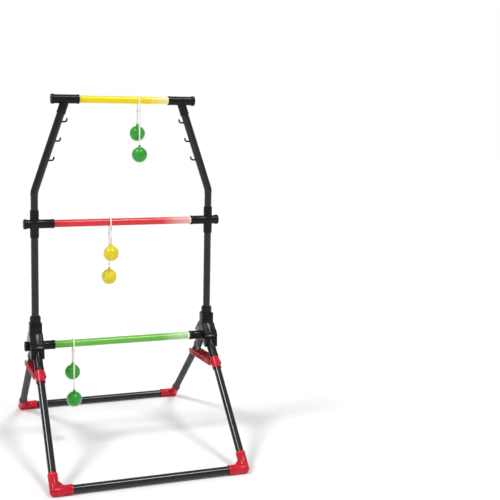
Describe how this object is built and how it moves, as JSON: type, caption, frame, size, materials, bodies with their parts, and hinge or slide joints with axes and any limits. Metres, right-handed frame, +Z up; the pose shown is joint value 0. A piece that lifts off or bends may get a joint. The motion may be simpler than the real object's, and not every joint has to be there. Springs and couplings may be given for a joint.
{
  "type": "ladder toss frame",
  "caption": "Three-rung target ladder with sloping upper arms on two folding U-shaped leg frames, coloured translucent rungs and bolas hung over them.",
  "frame": {"origin": "on the floor, in the middle between the two ground bars and the two uprights", "axes": "+Z up, +X along the rungs to the right as seen by a thrower, -Y towards the thrower"},
  "size_m": [0.5426, 0.665, 0.9573],
  "materials": {
    "black_tube": "fine textured black powder coat",
    "grey_tube": "matt dark grey powder coat",
    "black_fitting": "moulded black ABS, satin to gloss",
    "red_plastic": "moulded red ABS, gloss",
    "steel_pin": "plated steel",
    "light_module": "frosted diffuser over a circuit board",
    "rung_yellow": "translucent polycarbonate, lit from inside",
    "rung_red": "translucent polycarbonate, lit from inside",
    "rung_green": "translucent polycarbonate, lit from inside",
    "ball_green": "moulded green vinyl, gloss",
    "ball_yellow": "moulded yellow vinyl, gloss",
    "white_cord": "braided white nylon"
  },
  "bodies": {
    "ladder": {"rung_top": "rung_yellow", "light_module_top": "light_module", "rung_middle": "rung_red", "light_module_middle": "light_module", "rung_bottom": "rung_green", "light_module_bottom": "light_module", "upright_left": "black_tube", "arm_left": "black_tube", "cross_left": "black_fitting", "tee_left": "black_fitting", "hub_left": "black_fitting", "hub_collar_left": "black_fitting", "rung_cap_top_left": "black_fitting", "rung_cap_middle_left": "black_fitting", "rung_cap_bottom_left": "black_fitting", "hook_left_1": "black_fitting", "hook_left_2": "black_fitting", "hook_left_3": "black_fitting", "upright_right": "black_tube", "arm_right": "black_tube", "cross_right": "black_fitting", "tee_right": "black_fitting", "hub_right": "black_fitting", "hub_collar_right": "black_fitting", "rung_cap_top_right": "black_fitting", "rung_cap_middle_right": "black_fitting", "rung_cap_bottom_right": "black_fitting", "hook_right_1": "black_fitting", "hook_right_2": "black_fitting", "hook_right_3": "black_fitting"},
    "front_frame": {"knuckle_front_left": "black_fitting", "knuckle_front_right": "black_fitting", "leg_front_left": "black_tube", "leg_front_right": "black_tube", "elbow_front_left": "red_plastic", "elbow_front_right": "red_plastic", "ground_bar_front": "black_tube"},
    "rear_frame": {"knuckle_rear_left": "black_fitting", "knuckle_rear_right": "black_fitting", "leg_rear_left": "grey_tube", "leg_rear_right": "grey_tube", "elbow_rear_left": "red_plastic", "elbow_rear_right": "red_plastic", "ground_bar_rear": "black_tube", "link_pin_left": "steel_pin", "link_pin_right": "steel_pin"},
    "runner_left": {"runner_left": "red_plastic"},
    "runner_right": {"runner_right": "red_plastic"},
    "link_left": {"link_left": "red_plastic"},
    "link_right": {"link_right": "red_plastic"},
    "bola_top": {"bola_cord_top": "white_cord", "ball_top_upper": "ball_green", "ball_top_lower": "ball_green"},
    "bola_middle": {"bola_cord_middle": "white_cord", "ball_middle_upper": "ball_yellow", "ball_middle_lower": "ball_yellow"},
    "bola_bottom": {"bola_cord_bottom": "white_cord", "ball_bottom_upper": "ball_green", "ball_bottom_lower": "ball_green"}
  },
  "joints": [
    {"name": "front_fold", "type": "hinge", "parent": "ladder", "child": "front_frame", "pos_m": [0, 0, 0.283], "axis": [1, 0, 0], "range_deg": [0, 37.87]},
    {"name": "rear_fold", "type": "hinge", "parent": "ladder", "child": "rear_frame", "pos_m": [0, 0, 0.283], "axis": [-1, 0, 0], "range_deg": [0, 37.87]},
    {"name": "runner_slide_left", "type": "slide", "parent": "front_frame", "child": "runner_left", "axis": [0, -0.7416, -0.6708], "range_m": [0, 0.18543]},
    {"name": "link_turn_left", "type": "hinge", "parent": "rear_frame", "child": "link_left", "pos_m": [-0.242, 0.10237, 0.20834], "axis": [1, 0, 0], "range_deg": [0, 100.8]},
    {"name": "runner_slide_right", "type": "slide", "parent": "front_frame", "child": "runner_right", "axis": [0, -0.7416, -0.6708], "range_m": [0, 0.18543]},
    {"name": "link_turn_right", "type": "hinge", "parent": "rear_frame", "child": "link_right", "pos_m": [0.242, 0.10237, 0.20834], "axis": [1, 0, 0], "range_deg": [0, 100.8]},
    {"name": "bola_swing_top", "type": "hinge", "parent": "ladder", "child": "bola_top", "pos_m": [0.04, 0, 0.943], "axis": [1, 0, 0], "range_deg": [-60, 60]},
    {"name": "bola_swing_middle", "type": "hinge", "parent": "ladder", "child": "bola_middle", "pos_m": [-0.038, 0, 0.613], "axis": [1, 0, 0], "range_deg": [-60, 60]},
    {"name": "bola_swing_bottom", "type": "hinge", "parent": "ladder", "child": "bola_bottom", "pos_m": [-0.14, 0, 0.283], "axis": [1, 0, 0], "range_deg": [-60, 60]}
  ],
  "couplings": [
    {"joint": "rear_fold", "follows": "front_fold", "ratio": 1},
    {"joint": "runner_slide_left", "follows": "front_fold", "m_per_rad": 0.28039},
    {"joint": "link_turn_left", "follows": "front_fold", "ratio": 2.6591},
    {"joint": "runner_slide_right", "follows": "front_fold", "m_per_rad": 0.28039},
    {"joint": "link_turn_right", "follows": "front_fold", "ratio": 2.6591}
  ]
}
